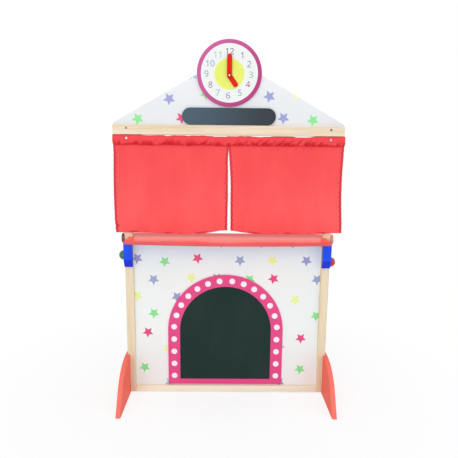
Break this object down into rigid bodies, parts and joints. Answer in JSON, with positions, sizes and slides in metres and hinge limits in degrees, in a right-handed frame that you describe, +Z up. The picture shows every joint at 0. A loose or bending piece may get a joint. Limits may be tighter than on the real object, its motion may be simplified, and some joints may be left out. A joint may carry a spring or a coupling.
{
  "type": "puppet theatre",
  "caption": "Free-standing wooden puppet theatre: chalkboard front, bowed shelf, draw curtains, gable with a clock whose hands turn.",
  "frame": {"origin": "on the floor, in the middle between the two feet, front to back and side to side", "axes": "+X to the right of a child who looks at the stage, -Y out of the stage towards that child, +Z up"},
  "size_m": [0.748, 0.351, 1.2],
  "materials": {
    "pine": "clear satin lacquer on pale pine",
    "beech": "plain sanded dowel",
    "white_board": "white gloss-painted hardboard",
    "pink_board": "hot pink satin paint",
    "chalkboard": "matt chalkboard paint, very dark green",
    "coral_paint": "coral red gloss paint",
    "dark_red_paint": "dark red gloss paint",
    "blue_paint": "bright blue gloss paint",
    "green_paint": "green gloss paint",
    "crimson_paint": "crimson gloss paint",
    "clock_print": "printed board, magenta rim",
    "slate_paint": "dark slate satin paint",
    "red_plastic": "smooth red plastic",
    "red_cloth": "red woven polyester",
    "zinc_steel": "zinc-plated",
    "dark_steel": "darkened",
    "bright_pin": "nickel-plated",
    "insert_brass": "plain"
  },
  "bodies": {
    "frame": {"left_stile": "pine", "right_stile": "pine", "left_upper_post": "pine", "right_upper_post": "pine", "bottom_rail": "pine", "top_rail": "pine", "rail_dowels": "beech", "front_panel": "white_board", "arch_trim": "pink_board", "chalkboard": "chalkboard", "left_foot": "coral_paint", "right_foot": "coral_paint", "foot_screws": "zinc_steel", "shelf": "coral_paint", "shelf_end_bolts": "zinc_steel", "shelf_end_caps": "dark_red_paint", "left_bracket": "blue_paint", "right_bracket": "blue_paint", "bracket_screws": "zinc_steel", "clamp_studs": "zinc_steel", "clamp_washers": "zinc_steel", "header_bar": "pine", "gable_board": "white_board", "header_screws": "dark_steel", "clock_board": "clock_print", "clock_screws": "zinc_steel", "clock_pin": "bright_pin", "pin_washers": "bright_pin", "pin_nut": "bright_pin", "sign_plate": "slate_paint", "sign_screws": "zinc_steel", "curtain_rod": "beech", "rod_screws": "bright_pin", "left_curtain": "red_cloth", "right_curtain": "red_cloth"},
    "minute_hand_body": {"minute_hand": "red_plastic"},
    "hour_hand_body": {"hour_hand": "red_plastic"},
    "left_knob_body": {"left_knob": "green_paint", "left_knob_insert": "insert_brass"},
    "right_knob_body": {"right_knob": "crimson_paint", "right_knob_insert": "insert_brass"},
    "left_curtain_lead": {"left_curtain_edge": "red_cloth"},
    "right_curtain_lead": {"right_curtain_edge": "red_cloth"}
  },
  "joints": [
    {"name": "minute_hand_turn", "type": "hinge", "parent": "frame", "child": "minute_hand_body", "pos_m": [0, -0.0315, 1.089], "axis": [0, 1, 0], "continuous": true},
    {"name": "hour_hand_turn", "type": "hinge", "parent": "frame", "child": "hour_hand_body", "pos_m": [0, -0.0281, 1.089], "axis": [0, 1, 0], "continuous": true},
    {"name": "left_knob_turn", "type": "hinge", "parent": "frame", "child": "left_knob_body", "pos_m": [-0.36, 0.0065, 0.499], "axis": [-1, 0, 0], "continuous": true},
    {"name": "right_knob_turn", "type": "hinge", "parent": "frame", "child": "right_knob_body", "pos_m": [0.36, 0.0065, 0.4795], "axis": [1, 0, 0], "continuous": true},
    {"name": "left_curtain_draw", "type": "slide", "parent": "frame", "child": "left_curtain_lead", "axis": [-1, 0, 0], "range_m": [0, 0.25], "deforming": ["left_curtain"]},
    {"name": "right_curtain_draw", "type": "slide", "parent": "frame", "child": "right_curtain_lead", "axis": [1, 0, 0], "range_m": [0, 0.25], "deforming": ["right_curtain"]}
  ]
}
